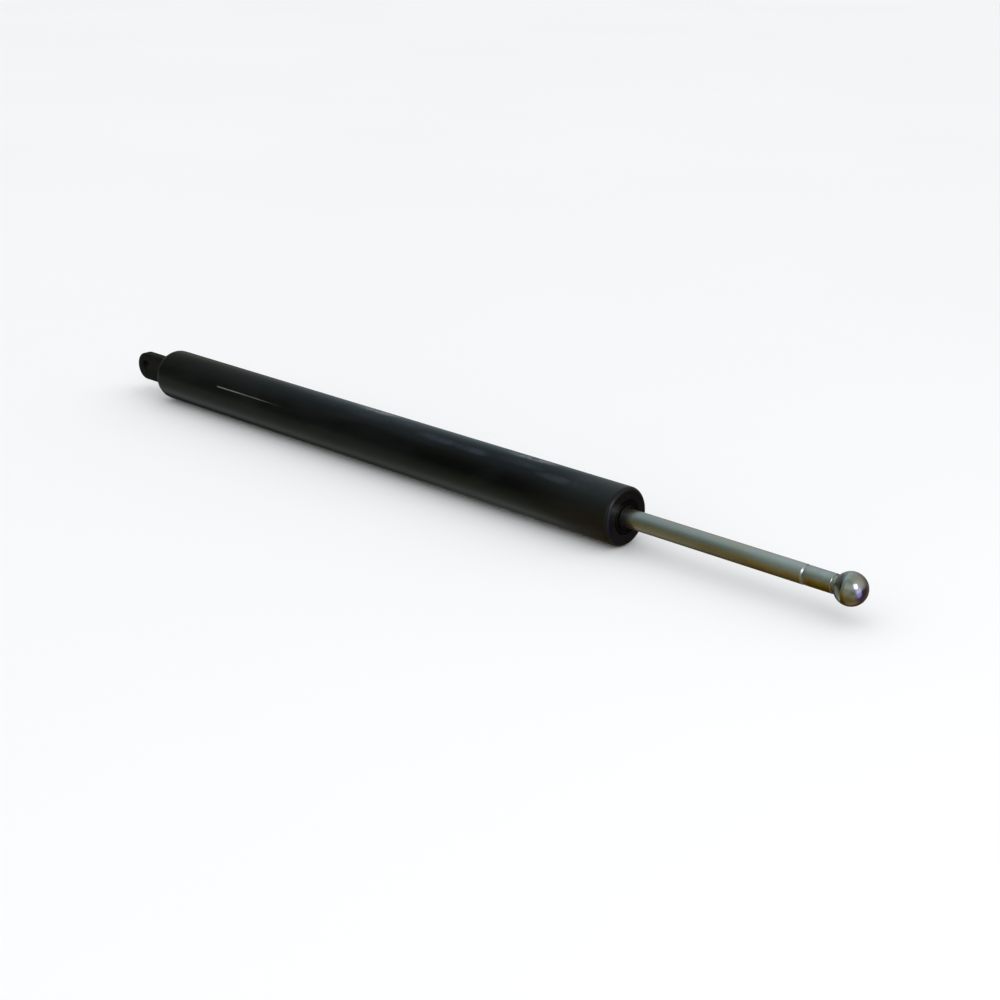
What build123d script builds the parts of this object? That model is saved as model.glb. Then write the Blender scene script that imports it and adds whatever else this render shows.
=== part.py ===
from build123d import *
import os

os.makedirs("parts", exist_ok=True)

# Gas strut stay, fully extended. Millimetres, +Z up.
# Origin at the centre of the eye hole in the tang; the strut runs along +X to the ball end.

# ---- driving dimensions -------------------------------------------------
# tang (closed end fitting)
eye_d = 6.1
tang_w = 14.0
tang_t = 5.0
tang_edge = 0.8
tang_shank_d = 8.0
tang_shank_len = 11.0

# pressure tube
tube_od = 25.0
tube_wall = 1.5
tube_x0 = 20.0
tube_x1 = 328.0
shoulder_r = 6.0
rear_hole_d = 11.0
lip_r = 2.0
lip_hole_d = 15.0

# rod
rod_d = 8.0
stroke = 80.0
spigot_d = 5.0
rod_end_chamfer = 0.95

# ball end
ball_d = 13.0
ball_x = 434.0
fitting_len = 18.8
shank_d = 7.8
neck_d = 6.7
neck_x = ball_x - 6.5
stud_d = 5.0
stud_len = 8.5

# fits
gap = 0.03
face_gap = 0.05

tube_r = tube_od / 2
bore_r = tube_r - tube_wall
rod_r = rod_d / 2
spigot_r = spigot_d / 2
ball_r = ball_d / 2
seal_x = tube_x1 - tube_wall      # inner face of the rolled lip

# axial stations of the guide pack, from the rolled lip inwards
cap_x0 = seal_x - 3.5
seal_x0 = cap_x0 - 6.0
washer_x0 = seal_x0 - 1.5
guide_x0 = washer_x0 - 14.5

# axial stations of the piston pack at full extension
stop_x1 = guide_x0 - 0.1
rod_shoulder_x = stop_x1 - 6.0
disc_x0 = rod_shoulder_x - 1.5
piston_x0 = disc_x0 - 8.0
valve_x0 = piston_x0 - 1.0
spring_x0 = valve_x0 - 1.1
nut_x0 = spring_x0 - 3.4
spigot_x0 = nut_x0 - 0.6

# ---- 1 pressure tube ----------------------------------------------------
with BuildPart() as pressure_tube:
    with BuildSketch(Plane.XY):
        with BuildLine():
            s = tube_r - shoulder_r
            l = tube_r - lip_r
            xa = tube_x0 + shoulder_r
            xb = tube_x1 - lip_r
            Line((tube_x0, rear_hole_d / 2), (tube_x0, s))
            RadiusArc((tube_x0, s), (xa, tube_r), shoulder_r)
            Line((xa, tube_r), (xb, tube_r))
            RadiusArc((xb, tube_r), (tube_x1, l), lip_r)
            Line((tube_x1, l), (tube_x1, lip_hole_d / 2))
            Line((tube_x1, lip_hole_d / 2), (seal_x, lip_hole_d / 2))
            Line((seal_x, lip_hole_d / 2), (seal_x, l))
            RadiusArc((seal_x, l), (xb, bore_r), -(lip_r - tube_wall))
            Line((xb, bore_r), (xa, bore_r))
            RadiusArc((xa, bore_r), (tube_x0 + tube_wall, s), -(shoulder_r - tube_wall))
            Line((tube_x0 + tube_wall, s), (tube_x0 + tube_wall, rear_hole_d / 2))
            Line((tube_x0 + tube_wall, rear_hole_d / 2), (tube_x0, rear_hole_d / 2))
        make_face()
    revolve(axis=Axis.X)

# ---- 2 end plug, tapped for the tang ------------------------------------
plug_x1 = 38.0
groove_w = 2.4
groove_r = 9.3
plug_ring_x = 32.4
with BuildPart() as end_plug:
    with BuildSketch(Plane.XY):
        with BuildLine():
            s = tube_r - shoulder_r
            pr = bore_r - gap
            pa = shoulder_r - tube_wall - 0.1
            xs = tube_x0 + shoulder_r
            xg = xs - pa
            hole_r = tang_shank_d / 2 + gap
            b_r = rear_hole_d / 2 - gap
            Polyline((tube_x0, hole_r), (tube_x0, b_r), (xg, b_r), (xg, s))
            RadiusArc((xg, s), (xs, s + pa), pa)
            Polyline((xs, s + pa), (plug_ring_x - groove_w / 2, pr),
                     (plug_ring_x - groove_w / 2, groove_r),
                     (plug_ring_x + groove_w / 2, groove_r),
                     (plug_ring_x + groove_w / 2, pr),
                     (plug_x1 - 0.8, pr), (plug_x1, pr - 0.8), (plug_x1, 0),
                     (tube_x0 + tang_shank_len + 2.0, 0),
                     (tube_x0 + tang_shank_len + 0.6, hole_r), (tube_x0, hole_r))
        make_face()
    revolve(axis=Axis.X)

# ---- 3 plug O-ring ------------------------------------------------------
with BuildPart() as plug_oring:
    with BuildSketch(Plane.XY):
        with Locations((plug_ring_x, (groove_r + bore_r) / 2)):
            Circle((bore_r - groove_r) / 2 - 0.01)
    revolve(axis=Axis.X)

# ---- 4 eye tang: flat blade, forged root and threaded shank --------------
with BuildPart() as eye_tang:
    with BuildSketch(Plane.XZ.offset(-tang_t / 2)):
        Circle(tang_w / 2)
        with Locations((tube_x0 / 2, 0)):
            Rectangle(tube_x0, tang_w)
    extrude(amount=tang_t)
    blade_edges = eye_tang.edges().filter_by(lambda e: abs(abs(e.center().Y) - tang_t / 2) < 1e-3
                                             and e.center().X < tube_x0 - 0.5)
    fillet(blade_edges, tang_edge)
    with BuildSketch(Plane.XY):
        with BuildLine():
            Polyline((12.5, 0), (12.5, 1.2), (17.0, tang_shank_d / 2), (tube_x0, tang_shank_d / 2),
                     (tube_x0 + 1.2, tang_shank_d / 2 - 0.7), (tube_x0 + 2.2, tang_shank_d / 2 - 0.7),
                     (tube_x0 + 2.9, tang_shank_d / 2),
                     (tube_x0 + tang_shank_len - 0.8, tang_shank_d / 2),
                     (tube_x0 + tang_shank_len, tang_shank_d / 2 - 0.8),
                     (tube_x0 + tang_shank_len, 0), (12.5, 0))
        make_face()
    revolve(axis=Axis.X)
    with BuildSketch(Plane.XZ.offset(-tang_t)):
        Circle(eye_d / 2)
    extrude(amount=2 * tang_t, mode=Mode.SUBTRACT)
    rims = eye_tang.edges().filter_by(GeomType.CIRCLE).filter_by(
        lambda e: abs(e.radius - eye_d / 2) < 1e-3 and abs(abs(e.center().Y) - tang_t / 2) < 1e-3)
    chamfer(rims, 0.35)

# ---- 5 rod guide --------------------------------------------------------
guide_ring_x = guide_x0 + 7.0
with BuildPart() as rod_guide:
    with BuildSketch(Plane.XY):
        with BuildLine():
            g = bore_r - gap
            Polyline((guide_x0, 5.0), (guide_x0, g - 0.8), (guide_x0 + 0.8, g),
                     (guide_ring_x - groove_w / 2, g), (guide_ring_x - groove_w / 2, groove_r),
                     (guide_ring_x + groove_w / 2, groove_r), (guide_ring_x + groove_w / 2, g),
                     (washer_x0 - face_gap, g), (washer_x0 - face_gap, 5.0), (guide_x0, 5.0))
        make_face()
    revolve(axis=Axis.X)

# ---- 6 guide bush -------------------------------------------------------
with BuildPart() as guide_bush:
    with BuildSketch(Plane.XY):
        with BuildLine():
            b0 = guide_x0 + 1.0
            b1 = washer_x0 - 1.0
            Polyline((b0, rod_r + gap), (b0, 4.75), (b0 + 0.23, 4.98), (b1 - 0.23, 4.98), (b1, 4.75),
                     (b1, rod_r + gap), (b0, rod_r + gap))
        make_face()
    revolve(axis=Axis.X)

# ---- 7 guide O-ring -----------------------------------------------------
with BuildPart() as guide_oring:
    with BuildSketch(Plane.XY):
        with Locations((guide_ring_x, (groove_r + bore_r) / 2)):
            Circle((bore_r - groove_r) / 2 - 0.01)
    revolve(axis=Axis.X)

# ---- 8 seal support washer ----------------------------------------------
with BuildPart() as seal_washer:
    with BuildSketch(Plane.XY):
        with Locations((washer_x0 + (1.5 - face_gap) / 2, (4.2 + bore_r - 0.1) / 2)):
            Rectangle(1.5 - face_gap, bore_r - 0.1 - 4.2)
    revolve(axis=Axis.X)

# ---- 9 rod lip seal, U section open to the gas side -----------------------
with BuildPart() as rod_seal:
    with BuildSketch(Plane.XY):
        with BuildLine():
            x0 = seal_x0 + 0.1
            x1 = cap_x0 - face_gap
            Polyline((x0, 4.25), (x0, 5.4), (x0 + 2.9, 5.4), (x0 + 3.3, 6.2), (x0 + 3.3, 8.4),
                     (x0 + 2.9, 9.2), (x0, 9.2), (x0, bore_r - gap), (x1, bore_r - gap),
                     (x1, rod_r + 0.25), (x0 + 1.6, rod_r + 0.25), (x0 + 0.9, rod_r + 0.02),
                     (x0 + 0.5, rod_r + 0.02), (x0, 4.25))
        make_face()
    revolve(axis=Axis.X)

# ---- 10 garter spring of the lip seal -------------------------------------
with BuildPart() as seal_spring:
    with BuildSketch(Plane.XY):
        with Locations((seal_x0 + 0.9, 5.4 + 0.46)):
            Circle(0.44)
    revolve(axis=Axis.X)

# ---- 11 guide cap, fills the rolled opening -------------------------------
cap_face_x = tube_x1 - 0.25
cap_wall = 1.2
nose_r = 4.95
with BuildPart() as guide_cap:
    with BuildSketch(Plane.XY):
        with BuildLine():
            ca = lip_r - tube_wall - face_gap
            cx = tube_x1 - lip_r
            cr = tube_r - lip_r
            Polyline((cap_x0, 6.0), (cap_x0, cr + ca), (cx, cr + ca))
            RadiusArc((cx, cr + ca), (cx + ca, cr), ca)
            Polyline((cx + ca, cr), (cx + ca, lip_hole_d / 2 - gap), (cap_face_x - 0.3, lip_hole_d / 2 - gap),
                     (cap_face_x, lip_hole_d / 2 - 0.33), (cap_face_x, nose_r), (cap_face_x - cap_wall, nose_r),
                     (cap_face_x - cap_wall, 6.0), (cap_x0, 6.0))
        make_face()
    revolve(axis=Axis.X)

# ---- 12 dust wiper --------------------------------------------------------
with BuildPart() as dust_wiper:
    with BuildSketch(Plane.XY):
        with BuildLine():
            w0 = cap_x0 + face_gap
            w1 = cap_face_x - cap_wall - face_gap
            Polyline((w0, 4.35), (w0, 5.97), (w1, 5.97), (w1, nose_r - gap), (tube_x1 + 0.25, nose_r - gap),
                     (tube_x1 + 0.5, 4.6), (tube_x1 + 0.5, rod_r + 0.02), (tube_x1 + 0.1, rod_r + 0.02),
                     (tube_x1 - 0.8, 4.35), (w0, 4.35))
        make_face()
    revolve(axis=Axis.X)

# ---- 13 piston rod --------------------------------------------------------
rod_x1 = ball_x - fitting_len
with BuildPart() as piston_rod:
    with BuildSketch(Plane.XY):
        with BuildLine():
            Polyline((spigot_x0, 0), (spigot_x0, spigot_r - 0.5), (spigot_x0 + 0.5, spigot_r),
                     (rod_shoulder_x, spigot_r), (rod_shoulder_x, rod_r - 0.3),
                     (rod_shoulder_x + 0.3, rod_r), (rod_x1 - rod_end_chamfer, rod_r),
                     (rod_x1, rod_r - rod_end_chamfer),
                     (rod_x1, stud_d / 2), (rod_x1 + stud_len - 0.5, stud_d / 2),
                     (rod_x1 + stud_len, stud_d / 2 - 0.5), (rod_x1 + stud_len, 0), (spigot_x0, 0))
        make_face()
    revolve(axis=Axis.X)

# ---- 14 extension stop buffer ---------------------------------------------
with BuildPart() as stop_buffer:
    with BuildSketch(Plane.XY):
        with BuildLine():
            c0 = rod_shoulder_x + face_gap
            Polyline((c0, rod_r + gap), (c0, 8.5), (stop_x1 - 1.2, 8.5), (stop_x1, 7.3),
                     (stop_x1, rod_r + gap), (c0, rod_r + gap))
        make_face()
    revolve(axis=Axis.X)

# ---- 15 support disc --------------------------------------------------------
with BuildPart() as support_disc:
    with BuildSketch(Plane.YZ.offset(disc_x0)):
        Circle(9.0)
        Circle(spigot_r + gap, mode=Mode.SUBTRACT)
        with PolarLocations(6.6, 6):
            Circle(0.9, mode=Mode.SUBTRACT)
    extrude(amount=1.5 - face_gap)

# ---- 16 piston --------------------------------------------------------------
ring_x0 = piston_x0 + 2.6
ring_w = 3.0
ring_root_r = 8.9
with BuildPart() as piston:
    with BuildSketch(Plane.XY):
        with BuildLine():
            p = bore_r - 0.1
            e = disc_x0 - face_gap
            Polyline((piston_x0, spigot_r + gap), (piston_x0, p - 0.6), (piston_x0 + 0.6, p), (ring_x0, p),
                     (ring_x0, ring_root_r), (ring_x0 + ring_w, ring_root_r), (ring_x0 + ring_w, p),
                     (e - 0.6, p), (e, p - 0.6), (e, spigot_r + gap), (piston_x0, spigot_r + gap))
        make_face()
    revolve(axis=Axis.X)
    with BuildSketch(Plane.YZ.offset(piston_x0 - 1)):
        with PolarLocations(6.6, 6):
            Circle(0.7)
    extrude(amount=10, mode=Mode.SUBTRACT)

# ---- 17 split piston ring ---------------------------------------------------
with BuildPart() as piston_ring:
    with BuildSketch(Plane.YZ.offset(ring_x0 + face_gap)):
        Circle(bore_r - gap)
        Circle(9.2, mode=Mode.SUBTRACT)
        with Locations((0, bore_r)):
            Rectangle(0.8, 5.0, mode=Mode.SUBTRACT)
    extrude(amount=ring_w - 2 * face_gap)

# ---- 18 valve disc with throttle hole ---------------------------------------
with BuildPart() as valve_disc:
    with BuildSketch(Plane.YZ.offset(valve_x0)):
        Circle(9.0)
        Circle(spigot_r + gap, mode=Mode.SUBTRACT)
        with Locations((0, 6.6)):
            Circle(0.4, mode=Mode.SUBTRACT)
    extrude(amount=1.0 - face_gap)

# ---- 19 conical spring washer -----------------------------------------------
with BuildPart() as spring_washer:
    with BuildSketch(Plane.XY):
        with BuildLine():
            Polyline((spring_x0 + 0.05, spigot_r + 0.1), (spring_x0 + 0.65, spigot_r + 0.1),
                     (spring_x0 + 1.05, 5.4), (spring_x0 + 0.45, 5.4), (spring_x0 + 0.05, spigot_r + 0.1))
        make_face()
    revolve(axis=Axis.X)

# ---- 20 piston nut ----------------------------------------------------------
with BuildPart() as piston_nut:
    with BuildSketch(Plane.YZ.offset(nut_x0)):
        RegularPolygon(radius=4.0, side_count=6, major_radius=False)
        Circle(spigot_r + gap, mode=Mode.SUBTRACT)
    extrude(amount=3.4)
    with BuildSketch(Plane.XY):
        with BuildLine():
            Polyline((nut_x0 - 1, 0.5), (nut_x0 - 1, 3.0), (nut_x0 + 1.4, 5.4), (nut_x0 + 4.4, 5.4),
                     (nut_x0 + 4.4, 0.5), (nut_x0 - 1, 0.5))
        make_face()
    revolve(axis=Axis.X, mode=Mode.INTERSECT)

# ---- 21 ball end: tapped shank, undercut neck and ball ------------------------
with BuildPart() as ball_end:
    with BuildSketch(Plane.XY):
        with BuildLine():
            f0 = rod_x1 + face_gap
            neck_r = neck_d / 2
            shank_r = shank_d / 2
            nb = ball_x - (ball_r ** 2 - neck_r ** 2) ** 0.5
            h = rod_x1 + stud_len + 0.6
            Polyline((f0, stud_d / 2 + gap), (f0, shank_r - 0.3), (f0 + 0.3, shank_r),
                     (neck_x - 0.4, shank_r), (neck_x, shank_r - 0.4), (neck_x + 0.2, neck_r), (nb, neck_r))
            ThreePointArc((nb, neck_r), (ball_x, ball_r), (ball_x + ball_r, 0))
            Polyline((ball_x + ball_r, 0), (h + 1.2, 0), (h, stud_d / 2 + gap), (f0, stud_d / 2 + gap))
        make_face()
    revolve(axis=Axis.X)

pieces = {
    "pressure_tube": pressure_tube,
    "end_plug": end_plug,
    "plug_oring": plug_oring,
    "eye_tang": eye_tang,
    "rod_guide": rod_guide,
    "guide_bush": guide_bush,
    "guide_oring": guide_oring,
    "seal_washer": seal_washer,
    "rod_seal": rod_seal,
    "seal_spring": seal_spring,
    "guide_cap": guide_cap,
    "dust_wiper": dust_wiper,
    "piston_rod": piston_rod,
    "stop_buffer": stop_buffer,
    "support_disc": support_disc,
    "piston": piston,
    "piston_ring": piston_ring,
    "valve_disc": valve_disc,
    "spring_washer": spring_washer,
    "piston_nut": piston_nut,
    "ball_end": ball_end,
}
for name, piece in pieces.items():
    piece.part.label = name
    export_step(piece.part, "parts/" + name + ".step")
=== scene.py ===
import bpy, math
from mathutils import Vector, Matrix


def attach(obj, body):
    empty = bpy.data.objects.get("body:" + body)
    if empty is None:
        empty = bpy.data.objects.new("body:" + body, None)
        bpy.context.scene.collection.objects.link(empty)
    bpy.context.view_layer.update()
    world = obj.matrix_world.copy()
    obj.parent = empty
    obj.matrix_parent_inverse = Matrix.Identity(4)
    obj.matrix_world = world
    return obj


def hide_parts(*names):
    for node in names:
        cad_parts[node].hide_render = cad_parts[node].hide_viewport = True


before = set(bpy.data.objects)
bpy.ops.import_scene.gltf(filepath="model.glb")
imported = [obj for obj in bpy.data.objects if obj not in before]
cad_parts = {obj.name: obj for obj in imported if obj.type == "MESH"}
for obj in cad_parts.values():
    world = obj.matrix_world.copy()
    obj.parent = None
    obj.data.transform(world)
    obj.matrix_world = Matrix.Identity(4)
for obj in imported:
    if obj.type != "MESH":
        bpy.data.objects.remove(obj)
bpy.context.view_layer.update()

MM = 0.001


# ------------------------------------------------------------------ geometry
def fillet_profile(points):
    """points: (x, r) or (x, r, radius) in mm. Corners with a radius become arcs. Returns (x, r) in mm."""
    out = []
    n = len(points)
    for i, p in enumerate(points):
        rad = p[2] if len(p) > 2 else 0.0
        if rad <= 0 or i in (0, n - 1):
            out.append((p[0], p[1]))
            continue
        a = Vector(points[i - 1][:2]) - Vector(p[:2])
        b = Vector(points[i + 1][:2]) - Vector(p[:2])
        la, lb = a.length, b.length
        a.normalize()
        b.normalize()
        half = a.angle(b) / 2
        t = min(rad / math.tan(half), la * 0.98, lb * 0.98)
        r = t * math.tan(half)
        c = Vector(p[:2]) + (a + b).normalized() * (r / math.sin(half))
        s = Vector(p[:2]) + a * t - c
        e = Vector(p[:2]) + b * t - c
        turn = s.angle(e)
        sign = 1.0 if s.cross(e) > 0 else -1.0
        steps = max(3, int(math.degrees(turn) / 9))
        for k in range(steps + 1):
            ang = sign * turn * k / steps
            ca, sa = math.cos(ang), math.sin(ang)
            out.append((c.x + s.x * ca - s.y * sa, c.y + s.x * sa + s.y * ca))
    return out


def lathe_data(profile, seg):
    """Vertices and faces of a profile of (x, r) in mm turned about X. A closed profile repeats its first point."""
    closed = profile[0] == profile[-1]
    prof = profile[:-1] if closed else profile
    verts, rings = [], []
    for x, r in prof:
        if r < 1e-6:
            verts.append((x * MM, 0.0, 0.0))
            rings.append([len(verts) - 1] * seg)
        else:
            ring = []
            for k in range(seg):
                a = 2 * math.pi * k / seg
                verts.append((x * MM, r * MM * math.cos(a), r * MM * math.sin(a)))
                ring.append(len(verts) - 1)
            rings.append(ring)
    faces = []
    m = len(rings)
    for i in range(m if closed else m - 1):
        p, q = rings[i], rings[(i + 1) % m]
        for k in range(seg):
            l = (k + 1) % seg
            f = []
            for v in (p[k], p[l], q[l], q[k]):
                if v not in f:
                    f.append(v)
            if len(f) > 2:
                faces.append(f)
    return verts, faces


def make_piece(name, verts, faces, body, nodes, slot, mat, sharp=34.0):
    mesh = bpy.data.meshes.new(name)
    mesh.from_pydata(verts, [], faces)
    mesh.validate()
    mesh.update()
    import bmesh
    bm = bmesh.new()
    bm.from_mesh(mesh)
    bmesh.ops.recalc_face_normals(bm, faces=bm.faces)
    bm.to_mesh(mesh)
    bm.free()
    for p in mesh.polygons:
        p.use_smooth = True
    mesh.set_sharp_from_angle(angle=math.radians(sharp))
    obj = bpy.data.objects.new(name, mesh)
    bpy.context.scene.collection.objects.link(obj)
    obj.data.materials.append(mat)
    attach(obj, body)
    if nodes:
        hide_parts(*nodes)
    return obj


def union(a, b):
    """One closed skin round two overlapping closed solids."""
    import bmesh
    objs = []
    for name, (v, f) in (("union_a", a), ("union_b", b)):
        me = bpy.data.meshes.new(name)
        me.from_pydata(v, [], f)
        bm = bmesh.new()
        bm.from_mesh(me)
        bmesh.ops.recalc_face_normals(bm, faces=bm.faces)
        bm.to_mesh(me)
        bm.free()
        o = bpy.data.objects.new(name, me)
        bpy.context.scene.collection.objects.link(o)
        objs.append(o)
    md = objs[0].modifiers.new("join", "BOOLEAN")
    md.operation = "UNION"
    md.solver = "EXACT"
    md.object = objs[1]
    bpy.context.view_layer.update()
    ev = objs[0].evaluated_get(bpy.context.evaluated_depsgraph_get())
    bm = bmesh.new()
    bm.from_mesh(ev.to_mesh())
    ev.to_mesh_clear()
    bmesh.ops.remove_doubles(bm, verts=bm.verts, dist=8e-6)
    bmesh.ops.dissolve_degenerate(bm, edges=bm.edges, dist=2e-6)
    bmesh.ops.triangulate(bm, faces=[p for p in bm.faces if len(p.verts) > 4])
    bm.verts.index_update()
    verts = [tuple(p.co) for p in bm.verts]
    faces = [[q.index for q in p.verts] for p in bm.faces]
    bm.free()
    for o in objs:
        me = o.data
        bpy.data.objects.remove(o)
        bpy.data.meshes.remove(me)
    return verts, faces


# ------------------------------------------------------------------ materials
class Mat:
    def __init__(self, name):
        self.m = bpy.data.materials.new(name)
        self.m.use_nodes = True
        self.t = self.m.node_tree
        self.t.nodes.clear()
        self.out = self.t.nodes.new("ShaderNodeOutputMaterial")
        self.b = self.t.nodes.new("ShaderNodeBsdfPrincipled")
        self.t.links.new(self.b.outputs[0], self.out.inputs[0])
        tc = self.t.nodes.new("ShaderNodeTexCoord")
        self.obj = tc.outputs["Object"]

    def set(self, **kw):
        for k, v in kw.items():
            self.b.inputs[k.replace("_", " ")].default_value = v
        return self

    def link(self, a, b):
        self.t.links.new(a, b)

    def math(self, op, a, b=None, c=None, clamp=False):
        n = self.t.nodes.new("ShaderNodeMath")
        n.operation = op
        n.use_clamp = clamp
        for i, v in enumerate((a, b, c)):
            if v is None:
                continue
            if isinstance(v, (int, float)):
                n.inputs[i].default_value = v
            else:
                self.link(v, n.inputs[i])
        return n.outputs[0]

    def scaled(self, vec, s):
        n = self.t.nodes.new("ShaderNodeMapping")
        n.inputs["Scale"].default_value = s
        self.link(vec, n.inputs["Vector"])
        return n.outputs[0]

    def noise(self, scale, detail=4.0, rough=0.5, vec=None, distortion=0.0):
        n = self.t.nodes.new("ShaderNodeTexNoise")
        n.inputs["Scale"].default_value = scale
        n.inputs["Detail"].default_value = detail
        n.inputs["Roughness"].default_value = rough
        n.inputs["Distortion"].default_value = distortion
        self.link(vec if vec is not None else self.obj, n.inputs["Vector"])
        return n.outputs["Fac"]

    def voronoi(self, scale, vec=None, feature="F1"):
        n = self.t.nodes.new("ShaderNodeTexVoronoi")
        n.feature = feature
        n.inputs["Scale"].default_value = scale
        self.link(vec if vec is not None else self.obj, n.inputs["Vector"])
        return n.outputs["Distance"]

    def remap(self, v, a, b, c, d, smooth=True):
        n = self.t.nodes.new("ShaderNodeMapRange")
        if smooth:
            n.interpolation_type = "SMOOTHSTEP"
        for i, x in enumerate((a, b, c, d)):
            n.inputs[i + 1].default_value = x
        self.link(v, n.inputs[0])
        return n.outputs[0]

    def mix(self, fac, a, b):
        n = self.t.nodes.new("ShaderNodeMix")
        n.data_type = "RGBA"
        f, ia, ib = n.inputs[0], n.inputs[6], n.inputs[7]
        if isinstance(fac, (int, float)):
            f.default_value = fac
        else:
            self.link(fac, f)
        for s, v in ((ia, a), (ib, b)):
            if isinstance(v, tuple):
                s.default_value = (v[0], v[1], v[2], 1.0)
            else:
                self.link(v, s)
        return n.outputs[2]

    def xyz(self, vec=None):
        n = self.t.nodes.new("ShaderNodeSeparateXYZ")
        self.link(vec if vec is not None else self.obj, n.inputs[0])
        return n.outputs

    def angle(self):
        """Angle round X, in radians, 0 towards -Y and rising towards +Z."""
        p = self.xyz()
        return self.math("ARCTAN2", p[2], self.math("MULTIPLY", p[1], -1.0))

    def combine(self, x, y, z):
        n = self.t.nodes.new("ShaderNodeCombineXYZ")
        for i, v in enumerate((x, y, z)):
            if isinstance(v, (int, float)):
                n.inputs[i].default_value = v
            else:
                self.link(v, n.inputs[i])
        return n.outputs[0]

    def bump(self, height, strength, distance, normal=None):
        n = self.t.nodes.new("ShaderNodeBump")
        n.inputs["Strength"].default_value = strength
        n.inputs["Distance"].default_value = distance
        self.link(height, n.inputs["Height"])
        if normal is not None:
            self.link(normal, n.inputs["Normal"])
        return n.outputs[0]

    def color(self, s):
        self.link(s, self.b.inputs["Base Color"])
        return self

    def rough(self, s):
        self.link(s, self.b.inputs["Roughness"])
        return self

    def metal(self, s):
        self.link(s, self.b.inputs["Metallic"])
        return self

    def normal(self, s):
        self.link(s, self.b.inputs["Normal"])
        return self


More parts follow.
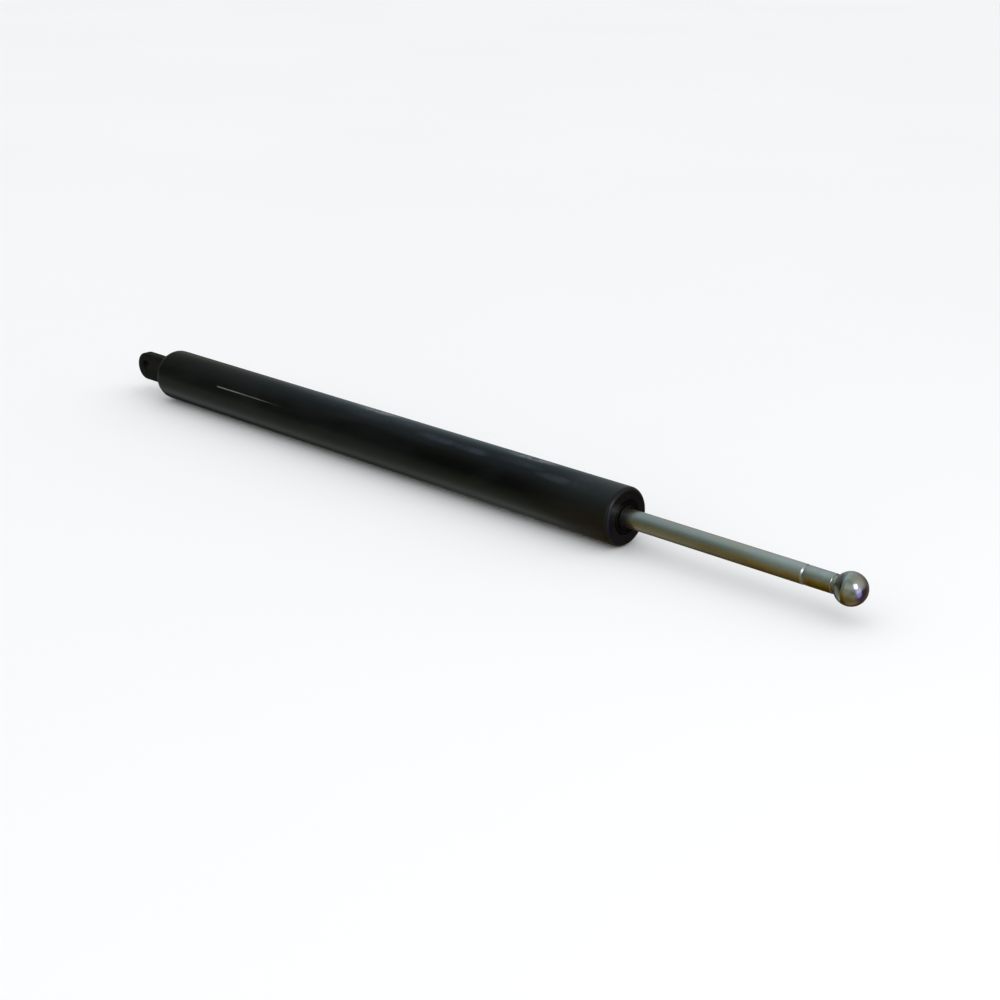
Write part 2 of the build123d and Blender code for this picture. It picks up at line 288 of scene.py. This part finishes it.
def tube_paint():
    """Gloss black stoved paint: slow waves, lighter bluish patches painted as reflections on hazier paint, two painted
    glare highlights, fine orange peel, dust specks, a thin pale tapering line, a worn end.
    """
    m = Mat("gloss_black_paint")
    m.set(Metallic=0.0, IOR=1.5)
    p = m.xyz()
    ang = m.angle()
    long_vec = m.scaled(m.obj, (0.32, 1.0, 1.0))
    cloud = m.noise(52.0, 4.0, 0.55, long_vec, 0.8)
    cloud_mask = m.remap(cloud, 0.46, 0.68, 0.0, 1.0)
    streak_vec = m.scaled(m.obj, (0.06, 1.0, 1.0))
    streak = m.noise(420.0, 3.0, 0.6, streak_vec)
    specks = m.remap(m.voronoi(520.0), 0.0, 0.1, 1.0, 0.0)
    speck_gate = m.remap(m.noise(130.0, 2.0, 0.5), 0.56, 0.66, 0.0, 1.0)
    specks = m.math("MULTIPLY", specks, speck_gate)
    # lighter bluish patches painted where reflections show, with rougher paint there, (x, angle, half length, half
    # width, strength)
    painted_reflection = None
    for x, a, lx, la, k in PAINTED_REFLECTIONS:
        dx = m.math("DIVIDE", m.math("SUBTRACT", p[0], x), lx)
        da = m.math("DIVIDE", m.math("SUBTRACT", ang, math.radians(a)), math.radians(la))
        d = m.math("ADD", m.math("MULTIPLY", dx, dx), m.math("MULTIPLY", da, da))
        g = m.math("MULTIPLY", m.remap(d, 0.0, 1.6, 1.0, 0.0), k)
        painted_reflection = g if painted_reflection is None else m.math("MAXIMUM", painted_reflection, g)
    ragged = m.remap(m.noise(95.0, 5.0, 0.65, m.scaled(m.obj, (0.5, 1.0, 1.0)), 1.2), 0.34, 0.64, 0.15, 1.0)
    painted_reflection = m.math("MULTIPLY", painted_reflection, ragged, clamp=True)
    # two painted highlights (glare patches) on the upper flank
    painted_glare = None
    for x, a, lx, la, k in PAINTED_GLARES:
        dx = m.math("DIVIDE", m.math("SUBTRACT", p[0], x), lx)
        da = m.math("DIVIDE", m.math("SUBTRACT", ang, math.radians(a)), math.radians(la))
        d = m.math("ADD", m.math("MULTIPLY", dx, dx), m.math("MULTIPLY", da, da))
        g = m.math("MULTIPLY", m.remap(d, 0.0, 1.4, 1.0, 0.0), k)
        painted_glare = g if painted_glare is None else m.math("MAXIMUM", painted_glare, g)
    painted_glare = m.math("MULTIPLY", painted_glare, m.remap(ragged, 0.15, 0.8, 0.1, 1.0), clamp=True)
    # a thin pale tapering line along the tube, with a slight bump and rougher paint there
    wob = m.math("MULTIPLY", m.math("SUBTRACT", m.noise(55.0, 2.0, 0.5), 0.5), 0.02)
    off = m.math("ABSOLUTE", m.math("SUBTRACT", m.math("ADD", ang, wob), 0.466))
    width = m.remap(p[0], 0.074, 0.124, 0.034, 0.010, smooth=False)
    line = m.math("SUBTRACT", 1.0, m.math("DIVIDE", off, width), clamp=True)
    gate = m.math("MULTIPLY", m.remap(p[0], 0.0725, 0.0745, 0.0, 1.0), m.remap(p[0], 0.092, 0.128, 1.0, 0.0))
    broken = m.remap(m.noise(700.0, 3.0, 0.6, streak_vec), 0.3, 0.55, 0.35, 1.0)
    pale_line = m.math("MULTIPLY", m.math("MULTIPLY", line, gate), broken, clamp=True)
    # paint rubbed thin round the edge of the closed end and of the rolled lip
    rr = m.math("SQRT", m.math("ADD", m.math("MULTIPLY", p[1], p[1]), m.math("MULTIPLY", p[2], p[2])))
    back = m.math("MULTIPLY", m.remap(p[0], 0.0200, 0.0209, 1.0, 0.0), m.remap(rr, 0.0066, 0.0078, 0.0, 1.0))
    back = m.math("MULTIPLY", back, m.remap(m.noise(210.0, 4.0, 0.6), 0.38, 0.6, 0.25, 1.0))
    lip = m.math("MULTIPLY", m.remap(p[0], 0.3262, 0.3270, 0.0, 1.0), m.remap(p[0], 0.3271, 0.3278, 1.0, 0.0))
    lip = m.math("MULTIPLY", lip, m.remap(m.noise(330.0, 4.0, 0.6), 0.6, 0.7, 0.0, 0.12))
    worn = m.math("MAXIMUM", back, lip)
    base = m.mix(cloud_mask, (0.0030, 0.0033, 0.0030), (0.0052, 0.0060, 0.0066))
    # painted reflection patches lighten the colour here (painted light), and painted glare highlights on the next line
    base = m.mix(painted_reflection, base, (0.020, 0.025, 0.035))
    # painted glare highlights: near-white colour standing in for reflected light
    base = m.mix(painted_glare, base, (0.26, 0.27, 0.28))
    base = m.mix(m.math("MULTIPLY", specks, 0.5), base, (0.06, 0.06, 0.055))
    # the thin pale tapering line lightens the colour
    base = m.mix(m.math("MULTIPLY", pale_line, 0.8), base, (0.27, 0.26, 0.205))
    base = m.mix(m.math("MULTIPLY", worn, 0.45), base, (0.15, 0.15, 0.115))
    m.color(base)
    r = m.math("ADD", m.remap(cloud, 0.4, 0.72, 0.09, 0.19), m.math("MULTIPLY", streak, 0.05))
    r = m.math("ADD", r, m.math("MULTIPLY", painted_reflection, 0.16))
    r = m.math("ADD", r, m.math("MULTIPLY", painted_glare, 0.2))
    r = m.math("ADD", r, m.remap(p[0], 0.3258, 0.3272, 0.0, 0.12))
    r = m.math("ADD", r, m.math("MULTIPLY", pale_line, 0.35), clamp=True)
    m.rough(r)
    wave = m.noise(38.0, 2.0, 0.4, long_vec)
    peel = m.noise(1500.0, 2.0, 0.5)
    n1 = m.bump(wave, 0.3, 0.0012)
    n2 = m.bump(peel, 0.07, 0.00012, n1)
    n3 = m.bump(pale_line, 0.4, 0.00006, n2)
    m.normal(n3)
    return m.m


# lighter bluish reflection patches painted on the tube, over hazier paint: (x, angle, half length, half width,
# strength)
PAINTED_REFLECTIONS = [
    (0.146, 92.0, 0.016, 13.0, 1.0),
    (0.172, 72.0, 0.030, 12.0, 0.45),
    (0.201, 80.0, 0.014, 9.0, 0.75),
    (0.225, 63.0, 0.013, 8.0, 1.0),
    (0.246, 62.0, 0.011, 8.0, 0.9),
    (0.268, 94.0, 0.017, 12.0, 1.0),
    (0.272, 66.0, 0.015, 8.0, 0.6),
    (0.298, 56.0, 0.014, 8.0, 0.8),
    (0.312, 74.0, 0.012, 10.0, 0.5),
]


# painted glare highlights on the upper flank: (x, angle, half length, half width, strength)
PAINTED_GLARES = [
    (0.178, 96.0, 0.0150, 11.0, 0.5),
    (0.275, 95.0, 0.0140, 11.0, 0.5),
]


def tang_black():
    m = Mat("satin_black_steel")
    m.set(IOR=1.4)
    n = m.noise(260.0, 5.0, 0.6)
    grain = m.noise(2600.0, 3.0, 0.6)
    p = m.xyz()
    rr = m.math("SQRT", m.math("ADD", m.math("MULTIPLY", p[0], p[0]), m.math("MULTIPLY", p[2], p[2])))
    rub = m.math("MULTIPLY", m.remap(rr, 0.0031, 0.0036, 1.0, 0.0), m.remap(n, 0.4, 0.62, 0.15, 1.0))
    rub = m.math("MULTIPLY", rub, 0.03)
    base = m.mix(m.remap(n, 0.35, 0.7, 0.0, 1.0), (0.0030, 0.0030, 0.0029), (0.0062, 0.0060, 0.0056))
    base = m.mix(rub, base, (0.13, 0.13, 0.12))
    m.color(base)
    m.metal(rub)
    m.rough(m.math("SUBTRACT", m.remap(grain, 0.3, 0.7, 0.5, 0.68), m.math("MULTIPLY", rub, 0.12)))
    m.normal(m.bump(grain, 0.22, 0.00012, m.bump(n, 0.25, 0.0002)))
    return m.m


def rod_chrome():
    """Hard chrome with a fine ground lay round the rod and faint draw lines along it, with orange and lavender patches
    painted into its colour as reflections.
    """
    m = Mat("ground_chrome_rod")
    m.set(Metallic=1.0)
    ring = m.noise(5200.0, 3.0, 0.6, m.scaled(m.obj, (1.0, 0.05, 0.05)))
    drawn = m.noise(2600.0, 3.0, 0.5, m.scaled(m.obj, (0.02, 1.0, 1.0)))
    mott = m.noise(75.0, 4.0, 0.55, m.scaled(m.obj, (0.6, 1.0, 1.0)))
    base = m.mix(m.remap(mott, 0.35, 0.7, 0.0, 1.0), (0.62, 0.63, 0.61), (0.72, 0.725, 0.70))
    base = m.mix(m.remap(drawn, 0.5, 0.75, 0.0, 0.22), base, (0.42, 0.42, 0.39))
    # orange and lavender patches painted into the colour as reflections (painted light)
    painted_reflection_tint = m.noise(62.0, 3.0, 0.5, m.scaled(m.obj, (0.55, 1.0, 1.0)), 0.6)
    base = m.mix(m.remap(painted_reflection_tint, 0.52, 0.68, 0.0, 0.55), base, (0.76, 0.58, 0.38))
    base = m.mix(m.remap(painted_reflection_tint, 0.46, 0.33, 0.0, 0.3), base, (0.64, 0.63, 0.72))
    m.color(base)
    m.rough(m.math("ADD", m.remap(mott, 0.3, 0.7, 0.2, 0.28), m.math("MULTIPLY", ring, 0.05)))
    m.normal(m.bump(ring, 0.1, 0.00003, m.bump(drawn, 0.06, 0.00003)))
    return m.m


def ball_steel(x_ball):
    m = Mat("polished_ball_steel")
    m.set(Metallic=1.0)
    turn = m.noise(4200.0, 3.0, 0.6, m.scaled(m.obj, (1.0, 0.04, 0.04)))
    mott = m.noise(240.0, 4.0, 0.6)
    fine = m.noise(3000.0, 2.0, 0.5)
    base = m.mix(m.remap(mott, 0.35, 0.7, 0.0, 1.0), (0.56, 0.56, 0.54), (0.65, 0.65, 0.63))
    m.color(base)
    m.rough(m.math("ADD", m.remap(mott, 0.3, 0.7, 0.09, 0.17), m.math("MULTIPLY", fine, 0.03)))
    m.normal(m.bump(turn, 0.08, 0.00003, m.bump(mott, 0.08, 0.00018)))
    return m.m


def cap_plastic():
    m = Mat("black_moulded_cap")
    m.set(IOR=1.3)
    n = m.noise(300.0, 4.0, 0.6)
    g = m.noise(1800.0, 3.0, 0.6)
    m.color(m.mix(n, (0.0012, 0.0012, 0.0013), (0.0028, 0.0028, 0.0030)))
    m.rough(m.remap(g, 0.3, 0.7, 0.09, 0.17))
    m.normal(m.bump(g, 0.06, 0.00005, m.bump(n, 0.05, 0.0001)))
    return m.m


def rubber(name="black_rubber", dark=(0.004, 0.004, 0.004), light=(0.009, 0.009, 0.0088), r0=0.42, r1=0.6):
    m = Mat(name)
    m.set(IOR=1.35)
    n = m.noise(420.0, 4.0, 0.6)
    g = m.noise(3600.0, 3.0, 0.65)
    m.color(m.mix(n, dark, light))
    m.rough(m.remap(g, 0.3, 0.7, r0, r1))
    m.normal(m.bump(g, 0.25, 0.00008))
    return m.m


def turned_metal(name, dark, light, r0=0.24, r1=0.4):
    m = Mat(name)
    m.set(Metallic=1.0)
    ring = m.noise(3800.0, 3.0, 0.6, m.scaled(m.obj, (1.0, 0.05, 0.05)))
    n = m.noise(180.0, 4.0, 0.6)
    m.color(m.mix(n, dark, light))
    m.rough(m.remap(ring, 0.3, 0.7, r0, r1))
    m.normal(m.bump(ring, 0.15, 0.00004))
    return m.m


def hard_plastic(name, dark, light, r0=0.4, r1=0.55):
    m = Mat(name)
    m.set(IOR=1.5)
    n = m.noise(200.0, 4.0, 0.6)
    g = m.noise(2400.0, 3.0, 0.6)
    m.color(m.mix(n, dark, light))
    m.rough(m.remap(g, 0.3, 0.7, r0, r1))
    m.normal(m.bump(g, 0.15, 0.00006))
    return m.m


mat_tube = tube_paint()
mat_tang = tang_black()
mat_rod = rod_chrome()
mat_ball = ball_steel(0.434)
mat_cap = cap_plastic()
mat_wiper = rubber("wiper_rubber", (0.0012, 0.0012, 0.0012), (0.003, 0.003, 0.003), 0.3, 0.45)
mat_nitrile = rubber("nitrile_rubber", (0.006, 0.006, 0.006), (0.014, 0.014, 0.014), 0.45, 0.62)
mat_pu = rubber("amber_polyurethane", (0.42, 0.26, 0.08), (0.55, 0.36, 0.13), 0.35, 0.5)
mat_steel = turned_metal("turned_steel", (0.44, 0.44, 0.45), (0.54, 0.54, 0.545))
mat_spring = turned_metal("spring_steel", (0.4, 0.4, 0.41), (0.5, 0.5, 0.51), 0.2, 0.32)
mat_alu = turned_metal("turned_aluminium", (0.66, 0.66, 0.65), (0.76, 0.76, 0.75), 0.26, 0.4)
mat_bronze = turned_metal("bearing_bronze", (0.42, 0.3, 0.15), (0.55, 0.41, 0.23), 0.3, 0.45)
mat_nylon = hard_plastic("filled_nylon", (0.035, 0.035, 0.038), (0.06, 0.06, 0.065))
mat_ptfe = hard_plastic("filled_ptfe", (0.15, 0.15, 0.155), (0.22, 0.22, 0.225))

inner = {
    "end_plug": mat_steel, "plug_oring": mat_nitrile, "rod_guide": mat_alu, "guide_bush": mat_bronze,
    "guide_oring": mat_nitrile, "seal_washer": mat_steel, "rod_seal": mat_nitrile, "seal_spring": mat_spring,
    "stop_buffer": mat_pu, "support_disc": mat_steel, "piston": mat_nylon, "piston_ring": mat_ptfe,
    "valve_disc": mat_steel, "spring_washer": mat_spring, "piston_nut": mat_steel,
}
for name, mat in inner.items():
    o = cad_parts[name]
    if not o.material_slots:
        o.data.materials.append(mat)
    for s in o.material_slots:
        s.material = mat


# ------------------------------------------------------------------ pieces
TUBE_X0, TUBE_X1, TUBE_R = 20.0, 328.0, 12.47
BALL_X = 434.0

# pressure tube: outer skin, rolled lip, inner wall
tube_prof = fillet_profile([
    (20.02, 5.5), (20.0, 5.6), (20.0, TUBE_R, 6.2), (120.0, TUBE_R), (240.0, TUBE_R),
    (328.0, TUBE_R, 2.0), (328.0, 7.52, 0.18), (326.5, 7.52, 0.12), (326.5, 11.0, 0.5), (200.0, 11.0),
    (21.5, 11.0, 4.5), (21.5, 5.5), (20.02, 5.5),
])
tube_prof[-1] = tube_prof[0]
v, f = lathe_data(tube_prof, 256)
make_piece("tube_shell", v, f, "barrel", ["pressure_tube"], "tube_paint", mat_tube)

# guide cap: flat polished face, its front wall closing in on the wiper's nose
cap_prof = fillet_profile([
    (323.0, 6.0), (323.0, 10.9), (326.45, 10.9, 0.4), (326.45, 7.47), (327.75, 7.47, 0.2),
    (327.75, 4.95, 0.08), (326.55, 4.95), (326.55, 6.0), (323.0, 6.0),
])
v, f = lathe_data(cap_prof, 160)
make_piece("guide_cap_face", v, f, "barrel", ["guide_cap"], "cap_black", mat_cap)

# dust wiper: body and a lip that stands out round the rod
wiper_prof = fillet_profile([
    (323.06, 4.35), (323.06, 5.95), (326.5, 5.95), (326.5, 4.91), (328.22, 4.91, 0.14),
    (328.48, 4.6, 0.1), (328.48, 4.03, 0.05), (328.1, 4.03, 0.1), (327.2, 4.35, 0.2), (323.06, 4.35),
])
v, f = lathe_data(wiper_prof, 160)
make_piece("dust_wiper_lip", v, f, "barrel", ["dust_wiper"], "wiper_rubber", mat_wiper)

# piston rod
rod_prof = fillet_profile([
    (279.34, 0.0), (279.34, 2.5, 0.4), (294.9, 2.5), (294.9, 3.98, 0.3), (340.0, 3.98), (380.0, 3.98),
    (414.24, 3.98, 0.12), (415.18, 3.04, 0.08), (415.18, 2.5), (423.6, 2.5, 0.4), (423.6, 0.0),
])
v, f = lathe_data(rod_prof, 160)
make_piece("rod_shaft", v, f, "rod", ["piston_rod"], "rod_chrome", mat_rod)

# ball end: shank, undercut neck, ball
ball_pts = [(424.9, 0.0), (424.3, 2.6), (415.26, 2.6), (415.26, 3.88, 0.3), (427.3, 3.88, 0.06), (427.48, 3.70, 0.05)]
nr = 3.38
nb = BALL_X - math.sqrt(6.49 ** 2 - nr ** 2)
ball_pts += [(427.66, nr, 0.05)]
ball_prof = fillet_profile(ball_pts + [(nb, nr)])
a0 = math.acos((nb - BALL_X) / 6.49)
for k in range(1, 49):
    a = a0 * (1 - k / 48)
    ball_prof.append((BALL_X + 6.49 * math.cos(a), max(0.0, 6.49 * math.sin(a)) if k < 48 else 0.0))
v, f = lathe_data(ball_prof, 160)
make_piece("ball_stud_end", v, f, "rod", ["ball_end"], "ball_steel", mat_ball)


# eye tang: blade with a full-round end, a chamfered hole and rolled edges, and its forged root
def tang_data():
    half, r_hole, cham, edge = 2.5, 3.05, 0.35, 0.8
    wr, x1 = 6.99, 19.98
    # outline in polar steps round the hole
    angs = []
    c1 = math.atan2(wr, x1)
    for k in range(97):
        angs.append(math.pi / 2 + math.pi * k / 96)
    for k in range(1, 25):
        x = x1 * k / 24
        angs.append(math.atan2(-wr, x))
    for k in range(1, 12):
        angs.append(-c1 + 2 * c1 * k / 12)
    for k in range(24, 0, -1):
        x = x1 * k / 24
        angs.append(math.atan2(wr, x))
    n = len(angs)

    def outline(a, inset):
        c, s = math.cos(a), math.sin(a)
        r = wr - inset
        if c <= 1e-9:
            return (r * c, r * s)
        if abs(s) > 1e-9:
            x = c * wr / abs(s)
            if x <= x1 + 1e-9:
                return (min(x, x1 - 0.12 * inset), math.copysign(r, s))
        return (x1 - 0.12 * inset, s / c * x1 * (r / wr))
    verts, faces, rings = [], [], []

    def ring(fn, y):
        idx = []
        for a in angs:
            x, z = fn(a)
            verts.append((x * MM, y * MM, z * MM))
            idx.append(len(verts) - 1)
        rings.append(idx)
    hole = lambda r: (lambda a: (r * math.cos(a), r * math.sin(a)))
    seq = [(hole(r_hole), 0.0), (hole(r_hole), -(half - cham)), (hole(r_hole + cham), -half),
           (hole(r_hole + cham + 0.5), -half), ((lambda a: outline(a, edge + 0.2)), -half)]
    steps = 6
    for k in range(steps + 1):
        t = math.pi / 2 * k / steps
        ins = edge * (1 - math.sin(t))
        seq.append(((lambda a, i=ins: outline(a, i)), -(half - edge * (1 - math.cos(t)))))
    for k in range(steps, -1, -1):
        t = math.pi / 2 * k / steps
        ins = edge * (1 - math.sin(t))
        seq.append(((lambda a, i=ins: outline(a, i)), (half - edge * (1 - math.cos(t)))))
    seq += [((lambda a: outline(a, edge + 0.2)), half), (hole(r_hole + cham + 0.5), half), (hole(r_hole + cham), half), (hole(r_hole), half - cham)]
    for fn, y in seq:
        ring(fn, y)
    m = len(rings)
    for i in range(m):
        p, q = rings[i], rings[(i + 1) % m]
        for k in range(n):
            l = (k + 1) % n
            faces.append([p[k], p[l], q[l], q[k]])
    return verts, faces


root_prof = fillet_profile([
    (12.4, 0.0), (12.4, 1.5, 0.8), (16.8, 3.98, 2.2), (19.98, 3.98, 0.2), (21.2, 3.3), (22.2, 3.3), (22.9, 3.98),
    (30.2, 3.98, 0.3), (30.98, 3.2), (30.98, 0.0),
])
root = lathe_data(root_prof, 96)
make_piece("eye_tang_blade", *union(tang_data(), root), "barrel", ["eye_tang"], "tang_black", mat_tang)

# ------------------------------------------------------------------ floor
fm = Mat("pale_floor")
fm.set(Specular_IOR_Level=0.1)
fn = fm.noise(3.0, 3.0, 0.5)
fm.color(fm.mix(fn, (0.9, 0.9, 0.895), (0.915, 0.915, 0.91)))
fm.rough(fm.remap(fn, 0.3, 0.7, 0.85, 0.95))
fmesh = bpy.data.meshes.new("floor")
S = 40.0
zf = -TUBE_R * MM - 0.0002
fmesh.from_pydata([(-S, -S, zf), (S, -S, zf), (S, S, zf), (-S, S, zf)], [], [(0, 1, 2, 3)])
floor = bpy.data.objects.new("floor", fmesh)
floor.data.materials.append(fm.m)
bpy.context.scene.collection.objects.link(floor)
floor.visible_glossy = False

# ------------------------------------------------------------------ light
world = bpy.data.worlds.new("studio")
bpy.context.scene.world = world
world.use_nodes = True
wt = world.node_tree
wt.nodes.clear()
w_out = wt.nodes.new("ShaderNodeOutputWorld")
bg_d = wt.nodes.new("ShaderNodeBackground")
bg_d.inputs[0].default_value = (0.97, 0.98, 1.0, 1)
bg_d.inputs[1].default_value = 1.05
bg_g = wt.nodes.new("ShaderNodeBackground")
bg_g.inputs[1].default_value = 1.0
tc = wt.nodes.new("ShaderNodeTexCoord")
sep = wt.nodes.new("ShaderNodeSeparateXYZ")
wt.links.new(tc.outputs["Generated"], sep.inputs[0])


def wmath(op, a, b=None, c=None, clamp=False):
    n = wt.nodes.new("ShaderNodeMath")
    n.operation = op
    n.use_clamp = clamp
    for i, v in enumerate((a, b, c)):
        if v is None:
            continue
        if isinstance(v, (int, float)):
            n.inputs[i].default_value = v
        else:
            wt.links.new(v, n.inputs[i])
    return n.outputs[0]


def wremap(v, a, b, c=0.0, d=1.0):
    n = wt.nodes.new("ShaderNodeMapRange")
    n.interpolation_type = "SMOOTHSTEP"
    for i, x in enumerate((a, b, c, d)):
        n.inputs[i + 1].default_value = x
    wt.links.new(v, n.inputs[0])
    return n.outputs[0]


def wmix(fac, a, b, blend="MIX"):
    n = wt.nodes.new("ShaderNodeMix")
    n.data_type = "RGBA"
    n.blend_type = blend
    n.clamp_result = False
    for sock, v in ((n.inputs[0], fac), (n.inputs[6], a), (n.inputs[7], b)):
        if isinstance(v, tuple):
            sock.default_value = (*v, 1.0)
        elif isinstance(v, (int, float)):
            sock.default_value = v
        else:
            wt.links.new(v, sock)
    return n.outputs[2]


# what shiny surfaces mirror: a dim room whose light depends on the angle round the X axis, in degrees
psi = wmath("ARCTAN2", sep.outputs[2], wmath("MULTIPLY", sep.outputs[1], -1.0))
turn = wmath("ADD", wmath("DIVIDE", psi, 2 * math.pi), 0.5)


def room(stops):
    ramp = wt.nodes.new("ShaderNodeValToRGB")
    wt.links.new(turn, ramp.inputs[0])
    cr = ramp.color_ramp
    cr.interpolation = "LINEAR"
    while len(cr.elements) < len(stops):
        cr.elements.new(0.5)
    for e, (deg, c) in zip(cr.elements, stops):
        e.position = (deg + 180.0) / 360.0
        e.color = (*c, 1)
    return ramp.outputs[0]


room_a0 = room([
    (-180, (0.13, 0.135, 0.12)), (-154, (0.08, 0.08, 0.07)), (-132, (0.025, 0.025, 0.025)), (-113, (0.018, 0.02, 0.02)),
    (-80, (0.25, 0.283, 0.268)), (-47, (0.170, 0.190, 0.165)), (-20, (0.140, 0.162, 0.120)), (4, (0.052, 0.062, 0.045)),
    (27, (0.050, 0.060, 0.045)), (50, (0.062, 0.072, 0.058)), (74, (0.080, 0.096, 0.078)), (100, (0.100, 0.118, 0.098)),
    (133, (0.120, 0.136, 0.118)), (167, (0.175, 0.182, 0.158)), (180, (0.13, 0.135, 0.12)),
])
room_a1 = room([
    (-180, (0.27, 0.30, 0.31)), (-154, (0.19, 0.19, 0.17)), (-132, (0.05, 0.05, 0.045)), (-113, (0.035, 0.038, 0.036)),
    (-80, (0.262, 0.280, 0.248)), (-47, (0.175, 0.195, 0.145)), (-20, (0.100, 0.122, 0.080)), (4, (0.012, 0.018, 0.004)),
    (27, (0.014, 0.018, 0.004)), (50, (0.040, 0.045, 0.030)), (74, (0.105, 0.130, 0.125)), (100, (0.150, 0.190, 0.215)),
    (133, (0.200, 0.270, 0.320)), (167, (0.31, 0.36, 0.38)), (180, (0.27, 0.30, 0.31)),
])
room_a2 = room([
    (-180, (0.24, 0.30, 0.31)), (-154, (0.21, 0.21, 0.18)), (-132, (0.09, 0.09, 0.08)), (-113, (0.085, 0.09, 0.085)),
    (-80, (0.34, 0.38, 0.345)), (-47, (0.198, 0.222, 0.170)), (-20, (0.085, 0.100, 0.060)), (4, (0.0, 0.002, 0.0)),
    (27, (0.0, 0.002, 0.0)), (50, (0.062, 0.070, 0.066)), (74, (0.150, 0.190, 0.220)), (100, (0.155, 0.205, 0.240)),
    (133, (0.190, 0.270, 0.315)), (167, (0.255, 0.33, 0.345)), (180, (0.24, 0.30, 0.31)),
])
room_b = room([
    (-180, (0.30, 0.30, 0.26)), (-150, (0.09, 0.075, 0.03)), (-113, (0.060, 0.036, 0.0)), (-80, (0.062, 0.034, 0.0)),
    (-47, (0.112, 0.062, 0.0)), (-20, (0.155, 0.110, 0.018)), (4, (0.175, 0.17, 0.105)), (27, (0.18, 0.20, 0.17)),
    (50, (0.22, 0.28, 0.26)), (74, (0.32, 0.42, 0.42)), (100, (0.38, 0.48, 0.50)), (133, (0.40, 0.47, 0.49)),
    (180, (0.30, 0.30, 0.26)),
])
room_c = room([
    (-180, (0.13, 0.11, 0.10)), (-150, (0.11, 0.08, 0.065)), (-125, (0.057, 0.030, 0.024)),
    (-95, (0.22, 0.165, 0.07)), (-70, (0.16, 0.11, 0.035)), (-45, (0.17, 0.125, 0.05)), (-12, (0.24, 0.26, 0.17)),
    (10, (0.24, 0.27, 0.20)), (25, (0.40, 0.46, 0.40)), (45, (0.35, 0.42, 0.40)), (65, (0.24, 0.29, 0.24)),
    (85, (0.32, 0.38, 0.30)), (134, (0.37, 0.38, 0.33)), (165, (0.18, 0.18, 0.16)), (180, (0.13, 0.11, 0.10)),
])
room_d = room([
    (-180, (0.055, 0.042, 0.045)), (-155, (0.050, 0.036, 0.036)), (-120, (0.05, 0.034, 0.06)),
    (-90, (0.08, 0.06, 0.09)), (-45, (0.24, 0.22, 0.13)), (-10, (0.13, 0.17, 0.155)), (15, (0.25, 0.27, 0.28)),
    (45, (0.50, 0.52, 0.54)), (90, (0.45, 0.47, 0.46)), (130, (0.42, 0.42, 0.40)), (165, (0.25, 0.22, 0.22)),
    (180, (0.055, 0.042, 0.045)),
])
col = wmix(wremap(sep.outputs[0], -0.785, -0.725), room_a0, room_a1)
col = wmix(wremap(sep.outputs[0], -0.705, -0.665), col, room_a2)
col = wmix(wremap(sep.outputs[0], -0.610, -0.586), col, room_b)
col = wmix(wremap(sep.outputs[0], -0.45, -0.1), col, room_c)
col = wmix(wremap(sep.outputs[0], 0.25, 0.65), col, room_d)
for centre, deg, tint in (((0.97, -0.12, 0.02), 17.0, (0.62, 0.68, 1.15)), ((0.93, 0.0, -0.36), 13.0, (0.34, 0.30, 0.85))):
    d = wt.nodes.new("ShaderNodeVectorMath")
    d.operation = "DOT_PRODUCT"
    wt.links.new(tc.outputs["Generated"], d.inputs[0])
    d.inputs[1].default_value = Vector(centre).normalized()
    col = wmix(wremap(d.outputs["Value"], math.cos(math.radians(deg * 1.5)), math.cos(math.radians(deg * 0.4))), col, tint)
wt.links.new(col, bg_g.inputs[0])
lp = wt.nodes.new("ShaderNodeLightPath")
mixs = wt.nodes.new("ShaderNodeMixShader")
wt.links.new(lp.outputs["Is Glossy Ray"], mixs.inputs[0])
wt.links.new(bg_d.outputs[0], mixs.inputs[1])
wt.links.new(bg_g.outputs[0], mixs.inputs[2])
wt.links.new(mixs.outputs[0], w_out.inputs[0])
world.cycles.sampling_method = "NONE"


def area(name, loc, target, size, energy, color=(1, 1, 1), size_y=None):
    l = bpy.data.lights.new(name, "AREA")
    l.energy = energy
    l.color = color
    l.shape = "RECTANGLE" if size_y else "SQUARE"
    l.size = size
    if size_y:
        l.size_y = size_y
    o = bpy.data.objects.new(name, l)
    o.location = loc
    o.rotation_mode = "QUATERNION"
    o.rotation_quaternion = (Vector(target) - Vector(loc)).to_track_quat("-Z", "Y")
    bpy.context.scene.collection.objects.link(o)
    return o


CAM = Vector((0.7516941, -0.5051155, 0.2433987))
RIGHT = Vector((0.7142881, 0.6998518, 0.0))
UP = Vector((-0.2364756, 0.2413535, 0.9411842))
BACK = Vector((0.6586895, -0.6722768, 0.3378938))
ball_c = Vector((0.434, 0.0, 0.0))
key_dir = Vector((0.75, -0.32, 0.57)).normalized()
area("key_panel", ball_c + key_dir * 0.7, ball_c, 0.30, 0.58, (0.96, 0.97, 1.0), 0.36)

# ------------------------------------------------------------------ camera
cam_data = bpy.data.cameras.new("camera")
cam_data.sensor_width = 36.0
cam_data.lens = 63.0
cam_data.clip_start = 0.01
cam_data.clip_end = 200.0
cam = bpy.data.objects.new("camera", cam_data)
rot = Matrix((RIGHT, UP, BACK)).transposed()
cam.rotation_mode = "QUATERNION"
cam.rotation_quaternion = rot.to_quaternion()
cam.location = CAM
bpy.context.scene.collection.objects.link(cam)
bpy.context.scene.camera = cam
bpy.context.scene.view_settings.view_transform = "Standard"
bpy.context.scene.view_settings.look = "None"
